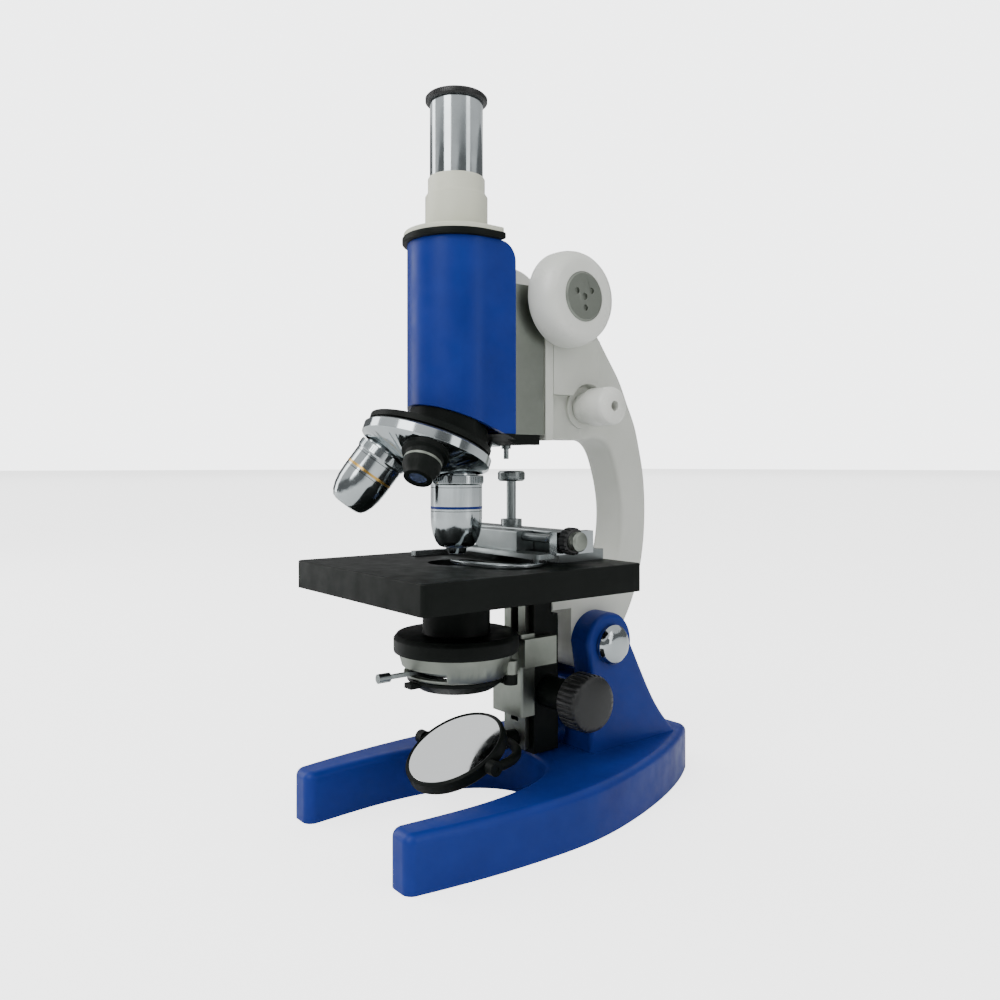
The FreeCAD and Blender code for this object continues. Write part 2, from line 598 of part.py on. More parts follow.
def make_tube():
    tube = pipe(TUBE_R, TUBE_BORE, (0, 0, TUBE_LOW), (0, 0, TUBE_HIGH))
    barrel = turned([(9.6, 0), (TUBE_BORE - 0.05, 0), (TUBE_BORE - 0.05, 25.0), (9.6, 25.0)],
                    (0, 0, TUBE_HIGH - 25.0))
    cap = turned([(7.5, 0), (EYE_RIM_R - 0.6, 0), (EYE_RIM_R, 0.6), (EYE_RIM_R, 2.6),
                  (EYE_RIM_R - 0.8, 3.5), (11.0, 3.5), (8.2, 2.2), (7.5, 2.2)], (0, 0, TUBE_HIGH))
    eye = turned([(0, 0), (7.5, 0), (7.5, 1.4), (4.0, 1.9), (0, 2.0)], (0, 0, TUBE_HIGH))
    field = turned([(0, 0), (9.6, 0), (9.6, 1.2), (5.0, 2.6), (0, 3.0)], (0, 0, TUBE_HIGH - 24.0))
    return {"draw_tube": tube, "eyepiece_barrel": barrel, "eyepiece_cap": cap,
            "eyepiece_lenses": group([eye, field])}


# ---------------------------------------------------------------- nosepiece and objectives
def make_nosepiece():
    mount_r = NOSE_DISC_R - 1.5
    screw_r = 5.0
    screw_end = MOUNT_RIM + 2.0
    neck = prism(body_edges(BODY_R - 1.5, BODY_BACK, 160.0), (0, 0, 60.0))
    neck = neck.common(rod(BODY_R - 1.5, (0, -9.0, 160), (0, -9.0, 220)))
    neck = neck.common(below_nose_plane(MOUNT_HIGH)).cut(below_nose_plane(MOUNT_RIM - 1.0))
    rim = Part.makeCylinder(mount_r, MOUNT_RIM - MOUNT_LOW, nose_at(MOUNT_LOW), nose_axis() * -1)
    light = rod(9.0, (0, 0, 150), (0, 0, 230))
    mount = less(join(rim, neck), light, Part.makeCylinder(screw_r, screw_end, nose_at(0),
                                                           nose_axis() * -1))
    spring = box(-4.5, 4.5, NOSE_DISC_R + 0.4, NOSE_DISC_R + 1.6, 5.4, MOUNT_HIGH)
    foot = box(-4.5, 4.5, NOSE_DISC_R + 0.4, NOSE_DISC_R + 6.4, MOUNT_HIGH - 1.2, MOUNT_HIGH)
    spring = join(spring, foot)
    spring.rotate(V(0, 0, 0), V(1, 0, 0), -NOSE_TILT)
    spring.translate(nose_centre())
    slope = math.tan(math.radians(NOSE_TILT))
    rim_low = -(NOSE_DISC_R - NOSE_HOLE_R) * slope
    apex_r = 9.0
    apex = (NOSE_HOLE_R - apex_r) * slope
    outline = [(screw_r + 0.05, -apex - 1.0), (apex_r - 1.0, -apex - 1.0), (apex_r, -apex),
               (NOSE_DISC_R - 0.8, -rim_low - 0.3), (NOSE_DISC_R, -rim_low + 0.5),
               (NOSE_DISC_R, -rim_low + NOSE_RIM - 1.0), (NOSE_DISC_R - 1.0, -rim_low + NOSE_RIM),
               (screw_r + 0.05, -rim_low + NOSE_RIM)]
    disc = turned(outline, tuple(nose_centre()), tuple(nose_axis() * -1))
    bore = rod(OBJECTIVE_THREAD_R, (0, 0, 160), (0, 0, 210))
    disc = less(disc, *around(bore, 3, tuple(nose_centre()), tuple(nose_axis())))
    length = apex + 4.1 + screw_end
    head = turned([(0, 0), (6.6, 0), (7.4, 0.8), (7.4, 3.0), (screw_r, 3.0), (screw_r, length),
                   (0, length)],
                  tuple(nose_at(-apex - 4.2)), tuple(nose_axis() * -1))
    return {"nosepiece_mount": mount, "nosepiece_spring": spring, "nosepiece_disc": disc,
            "nosepiece_screw": head}


def bullet(length, radius, nose_r, bore):
    """Objective barrel hanging from z = 0 to -length, with a rounded nose and a thread on top."""
    nose = 15.0
    bend = [(nose_r + (radius - nose_r) * math.cos(math.radians(step * 18)),
             -length + nose - nose * math.sin(math.radians(step * 18))) for step in range(0, 6)]
    outline = [(bore, 4.6), (OBJECTIVE_THREAD_R, 4.6), (OBJECTIVE_THREAD_R, 0), (radius + 0.5, 0),
               (radius + 0.5, -4.0), (radius, -4.6)]
    outline = outline + bend + [(bore, -length)]
    return turned(outline)


def place_objective(shape, turn):
    copy = shape.copy()
    copy.translate(V(0, 0, NOSE_SEAT_Z))
    return spun(copy, tuple(nose_centre()), tuple(nose_axis()), turn)


def make_objectives():
    drop = NOSE_SEAT_Z - OBJECTIVE_TIP_Z
    high = bullet(drop - 3.0, OBJECTIVE_R, 6.6, 5.4)
    sleeve = turned([(3.0, -drop + 0.6), (3.4, -drop), (4.4, -drop), (5.3, -drop + 3.2),
                     (5.3, -drop + 14.0), (3.0, -drop + 14.0)])
    middle_long = 31.5
    middle = bullet(middle_long, OBJECTIVE_R - 0.4, 6.4, 3.6)
    low = turned([(4.2, 4.6), (OBJECTIVE_THREAD_R, 4.6), (OBJECTIVE_THREAD_R, 0), (10.8, 0), (10.8, -2.6),
                  (8.8, -3.4), (8.8, -9.6), (6.6, -14.0), (6.6, -15.4), (4.2, -15.4)])
    lens_high = turned([(0, -drop + 0.7), (3.0, -drop + 0.7), (3.0, -drop + 3.0), (0, -drop + 3.0)])
    lens_middle = turned([(0, -middle_long + 0.8), (3.6, -middle_long + 0.8), (3.6, 3.0 - middle_long),
                          (0, 3.0 - middle_long)])
    lens_low = turned([(0, -14.6), (4.2, -14.6), (4.2, -12.4), (0, -12.4)])
    return {"objective_high": place_objective(high, 0), "objective_middle": place_objective(middle, 240),
            "objective_low": place_objective(low, 120), "objective_nose": place_objective(sleeve, 0),
            "objective_nose_lens": place_objective(lens_high, 0),
            "objective_lenses": group([place_objective(lens_middle, 240), place_objective(lens_low, 120)])}


# ---------------------------------------------------------------- mechanical stage
def make_stage_guide():
    """Plate screwed to the back of the stage, with two rails under the carriage and a rack across."""
    top = STAGE_TOP + 2.4
    rail_top = CARRIAGE_LOW - 0.1
    foot = box(-34.0, 34.0, 57.5, 66.5, STAGE_TOP, top)
    rails = [box(x, x + 12.0, 36.6, 66.5, STAGE_TOP, rail_top) for x in (-34.0, 22.0)]
    outline = rack_outline(POST_MODULE, -4, 9, -POST_MODULE * POST_TEETH / 2, -7.5)
    rack = plate_z([(POST_X + x, POST_Y + y) for x, y in outline], STAGE_TOP, CARRIAGE_LOW - 0.6)
    link = box(POST_X - 10.5, POST_X - 5.0, 50.0, 58.0, STAGE_TOP, top)
    guide = join(foot, rack, link, *rails)
    screws = []
    for x, y, head_z in ((-28.0, 61.0, rail_top), (28.0, 61.0, rail_top), (0.0, 62.0, top)):
        guide = less(guide, rod(1.5, (x, y, STAGE_TOP - 1), (x, y, head_z + 1)))
        screw = join(rod(1.5, (x, y, STAGE_TOP), (x, y, head_z)),
                     rod(3.2, (x, y, head_z), (x, y, head_z + 1.8)))
        screws.append(less(screw, box(x - 4, x + 4, y - 0.4, y + 0.4, head_z + 1.0, head_z + 2)))
    return {"stage_guide": guide}, screws


def make_carriage():
    bar = box(-48.0, 42.0, CARRIAGE_FRONT, CARRIAGE_BACK, CARRIAGE_LOW, CARRIAGE_HIGH)
    bar = softened(bar, 1.2, lambda edge: edge.BoundBox.XLength > 50
                   and edge.BoundBox.ZMin > CARRIAGE_HIGH - 0.1)
    ends = [box(-50.0, -44.0, 24.5, CARRIAGE_FRONT + 1, CARRIAGE_LOW, CARRIAGE_HIGH),
            box(41.0, 46.0, 24.5, CARRIAGE_BACK, CARRIAGE_LOW, CARRIAGE_HIGH + 0.6)]
    screw_hole = rod(2.05, (-52, SCREW_Y, SCREW_Z), (60, SCREW_Y, SCREW_Z))
    post_hole = rod(2.55, (POST_X, POST_Y, 120), (POST_X, POST_Y, 150))
    boss = rod(5.6, (POST_X, POST_Y, CARRIAGE_LOW), (POST_X, POST_Y, CARRIAGE_HIGH + 3.5))
    carriage = less(join(bar, boss), post_hole)
    blocks = group([less(end, bar, screw_hole) for end in ends])
    gear_low = STAGE_TOP + 0.6
    gear = pinion(POST_TEETH, POST_MODULE, gear_low, CARRIAGE_LOW - 0.6)
    gear.rotate(V(0, 0, 0), V(0, 0, 1), 180)
    gear.translate(V(POST_X, POST_Y, 0))
    post = rod(2.5, (POST_X, POST_Y, gear_low), (POST_X, POST_Y, 164.5))
    head = turned([(0, 0), (6.2, 0), (7.0, 0.8), (7.0, 4.7), (6.2, 5.5), (0, 5.5)], (POST_X, POST_Y, 164.5))
    return {"stage_carriage": carriage, "carriage_ends": blocks, "cross_post": join(gear, post, head)}


def make_screw_drive():
    screw = join(rod(2.0, (-50.0, SCREW_Y, SCREW_Z), (49.0, SCREW_Y, SCREW_Z)),
                 pipe(3.2, 2.0, (46.2, SCREW_Y, SCREW_Z), (47.2, SCREW_Y, SCREW_Z)))
    knob = turned([(2.0, 0), (5.4, 0), (6.4, 0.8), (6.4, 4.6), (5.4, 5.4), (2.0, 5.4)],
                  (47.3, SCREW_Y, SCREW_Z), (1, 0, 0))
    groove = box(47.0, 53.0, SCREW_Y + 5.7, SCREW_Y + 7.0, SCREW_Z - 0.45, SCREW_Z + 0.45)
    grooves = around(groove, 18, (0, SCREW_Y, SCREW_Z), (1, 0, 0))
    cap = turned([(0, 0), (4.6, 0), (4.6, 3.4), (3.6, 4.2), (0, 4.4)], (52.7, SCREW_Y, SCREW_Z), (1, 0, 0))
    return {"lateral_screw": screw, "lateral_knob": less(knob, *grooves), "lateral_cap": cap}


FINGER_PIN = (34.0, 22.5)   # pivot of the sprung finger


def make_slide_holder():
    """Runner on the lateral screw, with a jaw at one end and a sprung finger at the other."""
    low = STAGE_TOP + 0.4
    plate_low = 128.4
    plate_high = 130.8
    runner = box(-16.0, 16.0, 24.8, CARRIAGE_FRONT - 0.4, CARRIAGE_LOW + 0.1, CARRIAGE_HIGH - 0.6)
    runner = softened(runner, 0.8, lambda edge: edge.BoundBox.XLength > 30
                      and edge.BoundBox.ZMin > CARRIAGE_HIGH - 1)
    runner = join(runner, box(-16.0, 16.0, 24.8, 30.0, plate_high - 0.4, CARRIAGE_LOW + 0.3))
    runner = less(runner, rod(2.15, (-20, SCREW_Y, SCREW_Z), (20, SCREW_Y, SCREW_Z)))
    plate = box(-38.0, 38.0, 19.5, 30.0, plate_low, plate_high)
    plate = softened(plate, 2.0, lambda edge: edge.BoundBox.ZLength > 2 and edge.BoundBox.YMin < 20)
    jaw = box(-38.0, -34.0, -2.0, 24.0, low, plate_low)
    x, y = FINGER_PIN
    pin = rod(1.4, (x, y, low), (x, y, plate_low))
    holder = join(plate, runner, jaw, pin)
    finger_low = low + 0.1
    outer = [(38.0, 24.0), (43.5, 14.0), (41.0, 3.0), (27.0, -5.0), (4.0, -6.0)]
    inner = [(30.5, 21.0), (37.5, 13.0), (35.5, 6.0), (24.5, -0.8), (4.5, -2.2)]
    edges = [curve([V(px, py, finger_low) for px, py in side]) for side in (outer, inner)]
    edges.append(arc(V(*outer[-1], finger_low), V(2.0, -4.2, finger_low), V(*inner[-1], finger_low)))
    edges.append(arc(V(*inner[0], finger_low), V(33.0, 26.6, finger_low), V(*outer[0], finger_low)))
    finger = prism(edges, (0, 0, 1.5))
    finger = less(finger, rod(1.45, (x, y, 120), (x, y, 130)))
    return {"slide_holder": holder, "slide_finger": finger}


# ---------------------------------------------------------------- condenser
LEVER_Z = 75.0


def make_condenser():
    ring = turned([(21.6, 0), (24.6, 0), (25.4, 0.8), (28.0, 10.2), (28.0, 11.4), (21.6, 11.4)],
                  (0, 0, 71.6))
    arm = box(-10.0, 10.0, 22.0, 34.5, 70.0, 83.0)
    arm = less(arm, rod(24.0, (0, 0, 60), (0, 0, 100)))
    saddle = box(-15.0, 15.0, 31.0, 52.0, 71.8, 86.0)
    saddle = less(saddle, box(-TAIL_HALF - RUN, TAIL_HALF + RUN, TAIL_FRONT - RUN, 60.0, 70.0, 90.0))
    slide = box(-12.0, 12.0, 31.0, TAIL_FRONT - RUN, 46.5, 88.0)
    way = plate_z(tail_guide_outline(RUN), 40.0, 90.0)
    slide = softened(slide, 1.5, lambda edge: edge.BoundBox.ZLength > 30)
    lug = join(rod(3.4, (21.0, 17.0, 72.6), (21.0, 17.0, 79.0)), box(14.0, 21.0, 13.0, 20.0, 74.0, 79.0))
    lug = less(lug, rod(24.0, (0, 0, 60), (0, 0, 100)))
    lever_way = lever_slot(20.0, 32.0, 1.8)
    post_hole = join(rod(1.5, (21.0, 17.0, 60), (21.0, 17.0, 77.0)),
                     rod(3.7, (21.0, 17.0, 60), (21.0, 17.0, 72.5)))
    carrier = less(join(ring, arm, slide, saddle, lug), way, lever_way, post_hole)
    outline = rack_outline(RACK_MODULE, -3, 9, SUB_Y - SUB_PITCH_R, GUIDE_FACE - RUN)
    rack = plate_x([(y, z + SUB_Z) for y, z in outline], -2.8, 2.8)
    body = turned([(19.0, 72.0), (21.5, 72.0), (21.5, 83.1), (30.4, 83.1), (30.6, 84.5), (30.6, 89.5),
                   (29.0, 91.6), (17.0, 91.6), (16.5, 93.0), (16.5, 116.0), (15.0, 117.5), (11.0, 117.5),
                   (10.4, 118.0), (10.4, 122.0), (9.9, 122.4), (8.6, 122.4), (8.6, 117.0), (8.6, 108.0),
                   (14.0, 94.0), (15.2, 84.0), (19.0, 80.0)])
    body = less(body, lever_slot(18.0, 32.0, 1.8))
    top_lens = turned([(0, 117.0), (8.6, 117.0), (8.6, 121.0), (5.0, 122.0), (0, 122.3)])
    low_lens = turned([(0, 84.6), (14.8, 84.6), (14.6, 87.5), (9.0, 91.5), (0, 93.2)])
    leaf = turned([(5.0, 77.2), (18.9, 77.2), (18.9, 77.9), (5.0, 77.9)])
    wedge = plate_z([(0, 0), (30.0, -11.6), (30.0, 11.6)], 70.0, 85.0)
    leaf = leaf.common(wedge)
    return {"condenser_carrier": carrier, "condenser_rack": rack, "condenser_body": body,
            "condenser_lenses": group([top_lens, low_lens]), "iris_leaves": group(around(leaf, 8))}


def lever_slot(inner, outer, half):
    """Slot through which the iris lever swings at the front of the condenser."""
    ring = pipe(outer, inner, (0, 0, LEVER_Z - half), (0, 0, LEVER_Z + half))
    reach = 40.0
    wedge = plate_z([(0, 0), (-reach, -reach), (reach, -reach)], LEVER_Z - half, LEVER_Z + half)
    return ring.common(wedge)


def make_iris():
    ring = pipe(18.8, 14.0, (0, 0, LEVER_Z - 1.2), (0, 0, LEVER_Z + 1.2))
    arm = box(-1.3, 1.3, -40.0, -16.0, LEVER_Z - 0.9, LEVER_Z + 0.9)
    grip = rod(2.2, (0, -38.0, LEVER_Z), (0, -44.0, LEVER_Z))
    return {"iris_lever": join(ring, arm, grip)}


def make_filter_holder():
    dish = turned([(15.6, 0), (18.5, 0), (24.0, 4.2), (24.0, 5.6), (16.8, 5.6), (16.8, 1.6), (15.6, 1.6)],
                  (0, 0, 65.4))
    pivot = join(rod(3.4, (21.0, 17.0, 67.6), (21.0, 17.0, 72.3)), box(14.0, 21.0, 13.0, 18.0, 68.2, 71.0))
    pivot = less(pivot, rod(20.0, (0, 0, 60), (0, 0, 80)))
    post = rod(1.45, (21.0, 17.0, 70.0), (21.0, 17.0, 76.6))
    tab = box(-3.0, 3.0, -28.0, -22.0, 68.0, 70.4)
    return {"filter_holder": join(dish, pivot, post, tab)}


def make_condenser_drive():
    gear = pinion(SUB_TEETH, RACK_MODULE, -3.0, 3.0)
    gear.rotate(V(0, 0, 0), V(0, 1, 0), 90)
    gear.rotate(V(0, 0, 0), V(1, 0, 0), -90)
    gear.translate(V(0, SUB_Y, SUB_Z))
    shaft = rod(3.0, (-13.8, SUB_Y, SUB_Z), (SUB_KNOB_X + 11.8, SUB_Y, SUB_Z))
    end = rod(5.6, (-13.8, SUB_Y, SUB_Z), (-10.4, SUB_Y, SUB_Z))
    knob = turned([(3.0, 0), (9.0, 0), (9.6, 1.0), (13.4, 2.2), (14.0, 3.2), (14.0, 12.6), (13.0, 14.6),
                   (10.4, 15.6), (0, 15.6), (0, 11.8), (3.0, 11.8)], (SUB_KNOB_X, SUB_Y, SUB_Z), (1, 0, 0))
    groove = box(SUB_KNOB_X + 2.9, SUB_KNOB_X + 14.0, SUB_Y + 13.3, SUB_Y + 15, SUB_Z - 0.45, SUB_Z + 0.45)
    grooves = around(groove, 30, (0, SUB_Y, SUB_Z), (1, 0, 0))
    return {"condenser_pinion": join(gear, shaft, end), "condenser_knob": less(knob, *grooves)}


# ---------------------------------------------------------------- mirror
def make_mirror():
    centre = V(0, 0, MIRROR_Z)
    half = 3.0
    ring = Part.makeTorus(FORK_R, 2.4, V(0, 0, MIRROR_Z), V(0, 0, 1))
    half_space = box(-50, 50, 0, 50, MIRROR_Z - 10, MIRROR_Z + 10)
    ring = ring.common(half_space)
    knuckle = rod(3.4, (FORK_R - 2.2, 0, MIRROR_Z), (FORK_R + 2.6, 0, MIRROR_Z))
    eye = rod(1.5, (FORK_R - 5, 0, MIRROR_Z), (FORK_R + 5, 0, MIRROR_Z))
    stem = join(rod(4.6, (0, FORK_R - 0.5, MIRROR_Z), (0, GUIDE_FACE - 0.2, MIRROR_Z)),
                rod(3.0, (0, FORK_R, MIRROR_Z), (0, TAIL_BACK + 5.0, MIRROR_Z)))
    fork = less(join(ring, stem, *both_sides(knuckle)), *both_sides(eye))
    nut = pipe(8.3, 3.0, (0, TAIL_BACK + 0.2, MIRROR_Z), (0, TAIL_BACK + 6.4, MIRROR_Z))
    frame = turned([(0, -1.0), (MIRROR_R - 2.0, -1.0), (MIRROR_R - 2.0, -half),
                    (MIRROR_R - 1.0, -half - 0.4), (MIRROR_R, -half + 0.6), (MIRROR_R, half - 0.6),
                    (MIRROR_R - 1.0, half + 0.4), (MIRROR_R - 2.0, half), (MIRROR_R - 2.0, 1.0), (0, 1.0)])
    studs = [rod(1.45, (side * (MIRROR_R - 1.0), 0, 0), (side * (FORK_R + 2.2), 0, 0)) for side in (1, -1)]
    frame = join(frame, *studs)
    flat = turned([(0, 1.0), (MIRROR_R - 2.0, 1.0), (MIRROR_R - 2.0, 2.8), (0, 2.8)])
    hollow = turned([(0, -1.0), (0, -1.6), (8.0, -1.75), (16.0, -2.2), (MIRROR_R - 2.0, -2.9),
                     (MIRROR_R - 2.0, -1.0)])
    pieces = {"mirror_frame": frame, "plane_mirror": flat, "concave_mirror": hollow}
    for shape in pieces.values():
        shape.rotate(V(0, 0, 0), V(1, 0, 0), MIRROR_LEAN)
        shape.translate(centre)
    pieces["mirror_fork"] = fork
    pieces["mirror_nut"] = nut
    return pieces


# ---------------------------------------------------------------- write the pieces
def export(nodes):
    os.makedirs("parts", exist_ok=True)
    for name, shape in nodes.items():
        piece = shape.copy()
        piece.translate(V(0, ROW_SHIFT_Y, 0))
        if not piece.isValid():
            print("not valid:", name)
        piece.exportStep("parts/" + name + ".step")
    print(len(nodes), "pieces")


def main():
    nodes = {"limb_casting": make_limb()}
    screws = []
    for maker in (make_stage, make_tail, make_stage_guide):
        pieces, fasteners = maker()
        nodes.update(pieces)
        screws.extend(fasteners)
    nodes["limb_screws"] = group(screws)
    makers = [make_pivot, make_focus_block, make_coarse_drive, make_fine_drive, make_body, make_body_slide,
              make_tube, make_nosepiece, make_objectives, make_carriage, make_screw_drive,
              make_slide_holder,
              make_condenser, make_iris, make_filter_holder, make_condenser_drive, make_mirror]
    for maker in makers:
        nodes.update(maker())
    export(nodes)
    return nodes


main()
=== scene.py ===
import json
import math

import bmesh
import bpy
from mathutils import Matrix, Vector


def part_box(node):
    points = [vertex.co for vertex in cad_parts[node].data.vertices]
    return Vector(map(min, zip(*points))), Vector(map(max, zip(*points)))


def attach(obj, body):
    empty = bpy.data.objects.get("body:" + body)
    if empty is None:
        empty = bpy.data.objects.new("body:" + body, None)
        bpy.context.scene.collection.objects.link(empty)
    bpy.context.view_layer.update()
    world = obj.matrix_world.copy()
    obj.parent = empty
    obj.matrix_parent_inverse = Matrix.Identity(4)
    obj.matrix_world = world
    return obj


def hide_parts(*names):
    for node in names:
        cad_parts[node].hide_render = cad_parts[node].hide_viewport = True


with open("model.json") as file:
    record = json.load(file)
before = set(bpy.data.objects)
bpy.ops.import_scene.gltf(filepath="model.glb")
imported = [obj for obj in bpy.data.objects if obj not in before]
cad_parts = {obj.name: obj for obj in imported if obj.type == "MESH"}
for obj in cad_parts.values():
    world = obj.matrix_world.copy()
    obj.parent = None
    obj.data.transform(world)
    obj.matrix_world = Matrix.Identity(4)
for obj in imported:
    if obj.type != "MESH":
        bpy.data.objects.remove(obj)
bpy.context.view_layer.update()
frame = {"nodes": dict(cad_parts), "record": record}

# A student's compound microscope.  Places are in metres in the frame's own axes: +Z is up
# along the optical axis, -Y is the front, and +X is the side of the condenser knob.  Sizes
# of small details are in millimetres, and their names say so.

MM = 0.001

# ------------------------------------------------------------------ what the frame says
RECORD = frame["record"]
NODE_SLOT = {part["node"]: part["material_slot"] for part in RECORD["subparts"]}
NODE_BODY = {node: body for body, nodes in RECORD["behaviour"]["bodies"].items() for node in nodes}
JOINT = {joint["name"]: joint for joint in RECORD["behaviour"]["joints"]}


# ------------------------------------------------------------------ material helpers
NOISE_LOW = 0.3              # most of a noise's values lie between these two
NOISE_HIGH = 0.7


def hex_colour(text):
    """An sRGB colour such as '1B4596' as the linear values that a shader takes."""
    linear = []
    for start in (0, 2, 4):
        value = int(text[start:start + 2], 16) / 255
        linear.append(value / 12.92 if value <= 0.04045 else ((value + 0.055) / 1.055) ** 2.4)
    return (*linear, 1.0)


def new_material(name):
    """A new material and its main shader."""
    material = bpy.data.materials.new(name)
    material.use_nodes = True
    return material, material.node_tree.nodes["Principled BSDF"]


def add_node(material, kind, settings=None, links=None):
    """Adds a node to the material's tree, sets it up and links its inputs.

    settings maps a property or an input to its value, and links maps an input to
    (node, output)."""
    tree = material.node_tree
    node = tree.nodes.new(kind)
    for name, value in (settings or {}).items():
        if name in node.inputs:
            node.inputs[name].default_value = value
        else:
            setattr(node, name, value)
    for name, (source, output) in (links or {}).items():
        tree.links.new(source.outputs[output], node.inputs[name])
    return node


def link(material, source, output, target, name):
    """Links a node's output to another node's named input."""
    material.node_tree.links.new(source.outputs[output], target.inputs[name])


def grain(material, size_mm, detail, stretch=(1, 1, 1)):
    """Noise whose features are about size_mm across, on Object coordinates in metres."""
    place = add_node(material, "ShaderNodeTexCoord")
    turn = add_node(material, "ShaderNodeMapping", {"Scale": stretch}, {"Vector": (place, "Object")})
    settings = {"Scale": 1 / (size_mm * MM), "Detail": detail}
    return add_node(material, "ShaderNodeTexNoise", settings, {"Vector": (turn, "Vector")})


def two_tones(material, shader, noise, low, high, first, second):
    """Colours the shader from first to second over the noise's stretch from low to high."""
    node = add_node(material, "ShaderNodeValToRGB", None, {"Fac": (noise, "Fac")})
    node.color_ramp.elements[0].position = low
    node.color_ramp.elements[1].position = high
    node.color_ramp.elements[0].color = first
    node.color_ramp.elements[1].color = second
    link(material, node, "Color", shader, "Base Color")


def roughness_range(material, shader, noise, low, high):
    """Lets the noise carry the roughness from low to high."""
    settings = {"From Min": NOISE_LOW, "From Max": NOISE_HIGH, "To Min": low, "To Max": high}
    node = add_node(material, "ShaderNodeMapRange", settings, {"Value": (noise, "Fac")})
    link(material, node, "Result", shader, "Roughness")


def bumps(material, shader, noise, height_mm, strength):
    """Raises the surface's shading by the noise."""
    settings = {"Strength": strength, "Distance": height_mm * MM}
    node = add_node(material, "ShaderNodeBump", settings, {"Height": (noise, "Fac")})
    link(material, node, "Normal", shader, "Normal")


def enamel(name, colour, deeper, gloss, shine):
    """Stove enamel sprayed on a casting: an even gloss, clouded over some 30 mm, smeared
    by handling over 9 mm, with an orange peel of 2.4 mm that is drawn coarser than it is."""
    material, shader = new_material(name)
    cloud = grain(material, 30, detail=4)
    two_tones(material, shader, cloud, 0.3, 0.75, hex_colour(colour), hex_colour(deeper))
    smear = grain(material, 9, detail=5)
    roughness_range(material, shader, smear, gloss, gloss + 0.14)
    peel = grain(material, 2.4, detail=1)
    bumps(material, shader, peel, 0.02, 0.2)
    shader.inputs["Specular IOR Level"].default_value = shine
    shader.inputs["IOR"].default_value = 1.5
    return material


def plated(name, colour, smear_low, smear_high, brush=(1, 1, 1), bump=0.2):
    """Plated or bare metal: smears of 14 mm vary the gloss, and lines follow the way it was
    worked.  The lines are half a millimetre apart, the finest that still shows."""
    material, shader = new_material(name)
    shader.inputs["Metallic"].default_value = 1.0
    cloud = grain(material, 14, detail=4)
    base = hex_colour(colour)
    darker = (*(channel * 0.86 for channel in base[:3]), 1.0)
    two_tones(material, shader, cloud, 0.35, 0.7, base, darker)
    roughness_range(material, shader, cloud, smear_low, smear_high)
    lines = grain(material, 0.5, detail=2, stretch=brush)
    bumps(material, shader, lines, 0.012, bump)
    return material


def moulded(name, colour, deeper, gloss, grit_mm):
    """Moulded plastic: a fine even grit from the mould, and a gloss worn over some 22 mm."""
    material, shader = new_material(name)
    cloud = grain(material, 22, detail=3)
    two_tones(material, shader, cloud, 0.3, 0.75, hex_colour(colour), hex_colour(deeper))
    roughness_range(material, shader, cloud, gloss, gloss + 0.12)
    grit = grain(material, grit_mm, detail=2)
    bumps(material, shader, grit, 0.03, 0.25)
    shader.inputs["IOR"].default_value = 1.49
    return material


def lens_glass():
    """Ground optical glass: clear, with the faint bluish bloom of its coating."""
    material, shader = new_material("optical_glass")
    shader.inputs["Base Color"].default_value = hex_colour("DDE9EE")
    shader.inputs["Transmission Weight"].default_value = 0.85
    shader.inputs["IOR"].default_value = 1.52
    shader.inputs["Roughness"].default_value = 0.03
    shader.inputs["Coat Weight"].default_value = 0.6
    shader.inputs["Coat Tint"].default_value = hex_colour("8FA6E8")
    return material


def silvered():
    """Silvered mirror glass: almost a perfect reflection, with a light haze of dust."""
    material, shader = new_material("silvered_glass")
    shader.inputs["Metallic"].default_value = 1.0
    shader.inputs["Base Color"].default_value = hex_colour("F1F4F4")
    dust = grain(material, 6, detail=6)
    roughness_range(material, shader, dust, 0.03, 0.11)
    return material


TURNED_GRAIN = (1, 1, 14)    # squeezes the noise along Z, which draws it out into level lines
BRUSHED_GRAIN = (1, 1, 10)

MATERIALS = {
    # deep blue enamel of the base and body: even, with broad soft highlights
    "blue_enamel": enamel("blue_stove_enamel", "112C80", "0D2470", 0.32, 0.2),
    # off-white enamel of the limb, slightly warm
    "white_enamel": enamel("white_stove_enamel", "C8CAC3", "BDC0B7", 0.34, 0.35),
    # yellower enamel of the tube collar
    "cream_enamel": enamel("cream_stove_enamel", "D2D3C2", "C8CAB8", 0.38, 0.3),
    # dull black enamel of the stage and fittings, with hardly any highlight
    "black_enamel": enamel("black_stove_enamel", "070B08", "0B100D", 0.44, 0.12),
    # polished plating of the draw tube, nosepiece and objectives: a near mirror
    "chrome": plated("chromium_plate", "B2B9BB", 0.07, 0.17),
    # turned steel of screws, racks and spindles: a blurred reflection and fine level lines
    "satin_steel": plated("satin_steel", "858B8B", 0.24, 0.4, TURNED_GRAIN, 0.5),
    # brushed aluminium of the slides and carriers: pale grey and softly lit
    "satin_aluminium": plated("satin_aluminium", "888D85", 0.34, 0.5, BRUSHED_GRAIN, 0.4),
    # turned brass: warm yellow
    "brass": plated("turned_brass", "C9A35A", 0.2, 0.36),
    # pale urea plastic of the focusing knobs: smooth, the brightest part
    "white_plastic": moulded("white_urea_knob", "DCDDD7", "D0D3CB", 0.24, 0.7),
    # phenolic plastic of the eyepiece and the small knobs: black with a slight sheen
    "black_plastic": moulded("black_phenolic", "0B0D0D", "141617", 0.38, 0.6),
    "glass": lens_glass(),
    "mirror_glass": silvered(),
}


# ------------------------------------------------------------------ piece helpers
WELD = 2e-6                  # metres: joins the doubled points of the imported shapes
FLAT_DEG = 0.6               # facets that meet at less than this are one flat face
SOFT_DEG = 35                # edges below this are shaded as round
EDGE_SECTIONS = 2


